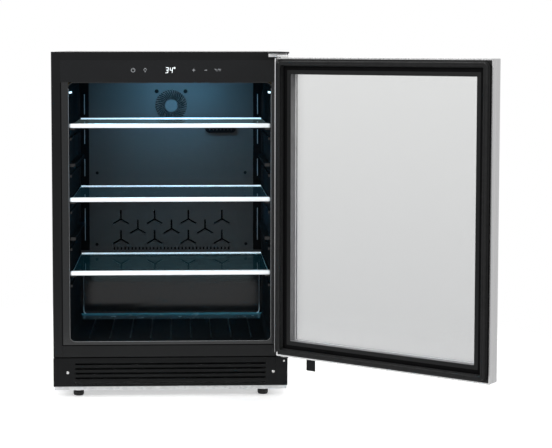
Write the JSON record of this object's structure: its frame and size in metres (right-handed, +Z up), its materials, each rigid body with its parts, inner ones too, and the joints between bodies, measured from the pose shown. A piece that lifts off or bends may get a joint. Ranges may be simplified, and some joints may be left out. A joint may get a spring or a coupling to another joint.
{
  "type": "undercounter refrigerator",
  "caption": "Built-in undercounter refrigerator: black cabinet, glazed steel-framed door hinged at the right, sliding glass shelves, fan-cooled interior, front-vented plinth on levelling feet.",
  "frame": {"origin": "on the floor, at the centre of the rectangle of the four levelling feet", "axes": "+Z up, -Y out of the front towards the user, +X to the right as the user faces the cabinet; the door is drawn open at its stop"},
  "size_m": [1.0577, 0.9713, 0.877],
  "materials": {
    "body_paint": "satin",
    "plinth_paint": "satin",
    "compressor_paint": "gloss",
    "galvanised": "satin",
    "screw_steel": "satin",
    "liner_plastic": "satin",
    "foam": "matte",
    "control_gloss": "satin",
    "display_window": "gloss",
    "circuit_board": "satin",
    "led_lens": "gloss",
    "coil_aluminium": "satin",
    "condenser_paint": "satin",
    "black_plastic": "satin",
    "fan_plastic": "satin",
    "white_plastic": "satin",
    "copper": "satin",
    "rubber": "matte",
    "foot_rubber": "matte",
    "gasket_rubber": "matte",
    "door_plastic": "satin",
    "stainless": "satin",
    "door_glass": "gloss",
    "spacer_grey": "satin",
    "shelf_glass": "gloss",
    "shelf_trim": "satin"
  },
  "bodies": {
    "cabinet": {"cabinet_shell": "body_paint", "bottom_rail": "body_paint", "back_panel": "galvanised", "machine_cover": "galvanised", "base_pan": "galvanised", "floor_plate": "body_paint", "inner_liner": "liner_plastic", "foam_insulation": "foam", "control_panel": "control_gloss", "display_lens": "display_window", "control_board": "circuit_board", "led_lamps": "led_lens", "duct_panel": "liner_plastic", "sensor_cover": "liner_plastic", "evaporator_coil": "coil_aluminium", "evaporator_fan_motor": "black_plastic", "drain_tube": "white_plastic", "compressor": "compressor_paint", "compressor_grommets": "rubber", "compressor_relay": "black_plastic", "condenser_coil": "condenser_paint", "condenser_shroud": "black_plastic", "condenser_fan_motor": "black_plastic", "filter_drier": "copper", "suction_line": "copper", "discharge_line": "copper", "drain_pan": "white_plastic", "power_inlet": "black_plastic", "toe_grille": "plinth_paint", "toe_grille_screws": "screw_steel", "top_hinge_bracket": "galvanised", "top_hinge_cover": "black_plastic", "bottom_hinge_bracket": "plinth_paint", "hinge_pins": "screw_steel", "hinge_screws": "screw_steel"},
    "door": {"door_outer_frame": "stainless", "door_inner_frame": "door_plastic", "door_gasket": "gasket_rubber", "outer_glass": "door_glass", "glass_spacer": "spacer_grey", "inner_glass": "door_glass", "door_handle": "stainless", "handle_posts": "stainless", "door_stop": "plinth_paint", "hinge_bushes": "white_plastic"},
    "evaporator_fan_rotor": {"evaporator_fan": "fan_plastic"},
    "condenser_fan_rotor": {"condenser_fan": "fan_plastic"},
    "shelf_1": {"shelf_1_glass": "shelf_glass", "shelf_1_front_trim": "shelf_trim", "shelf_1_rear_trim": "shelf_trim"},
    "shelf_2": {"shelf_2_glass": "shelf_glass", "shelf_2_front_trim": "shelf_trim", "shelf_2_rear_trim": "shelf_trim"},
    "shelf_3": {"shelf_3_glass": "shelf_glass", "shelf_3_front_trim": "shelf_trim", "shelf_3_rear_trim": "shelf_trim"},
    "levelling_foot_front_left": {"foot_front_left": "foot_rubber"},
    "levelling_foot_front_right": {"foot_front_right": "foot_rubber"},
    "levelling_foot_rear_left": {"foot_rear_left": "foot_rubber"},
    "levelling_foot_rear_right": {"foot_rear_right": "foot_rubber"}
  },
  "joints": [
    {"name": "door_hinge", "type": "hinge", "parent": "cabinet", "child": "door", "pos_m": [0.286, -0.315, 0.489], "axis": [0, 0, 1], "range_deg": [-142.5, 0]},
    {"name": "shelf_1_slide", "type": "slide", "parent": "cabinet", "child": "shelf_1", "axis": [0, -1, 0], "range_m": [0, 0.3]},
    {"name": "shelf_2_slide", "type": "slide", "parent": "cabinet", "child": "shelf_2", "axis": [0, -1, 0], "range_m": [0, 0.3]},
    {"name": "shelf_3_slide", "type": "slide", "parent": "cabinet", "child": "shelf_3", "axis": [0, -1, 0], "range_m": [0, 0.3]},
    {"name": "evaporator_fan_spin", "type": "hinge", "parent": "cabinet", "child": "evaporator_fan_rotor", "pos_m": [0, 0.157, 0.726], "axis": [0, 1, 0], "continuous": true},
    {"name": "condenser_fan_spin", "type": "hinge", "parent": "cabinet", "child": "condenser_fan_rotor", "pos_m": [-0.131, 0.214, 0.145], "axis": [1, 0, 0], "continuous": true},
    {"name": "levelling_foot_front_left_screw", "type": "slide", "parent": "cabinet", "child": "levelling_foot_front_left", "axis": [0, 0, -1], "range_m": [-0.004, 0.02]},
    {"name": "levelling_foot_front_right_screw", "type": "slide", "parent": "cabinet", "child": "levelling_foot_front_right", "axis": [0, 0, -1], "range_m": [-0.004, 0.02]},
    {"name": "levelling_foot_rear_left_screw", "type": "slide", "parent": "cabinet", "child": "levelling_foot_rear_left", "axis": [0, 0, -1], "range_m": [-0.004, 0.02]},
    {"name": "levelling_foot_rear_right_screw", "type": "slide", "parent": "cabinet", "child": "levelling_foot_rear_right", "axis": [0, 0, -1], "range_m": [-0.004, 0.02]}
  ]
}
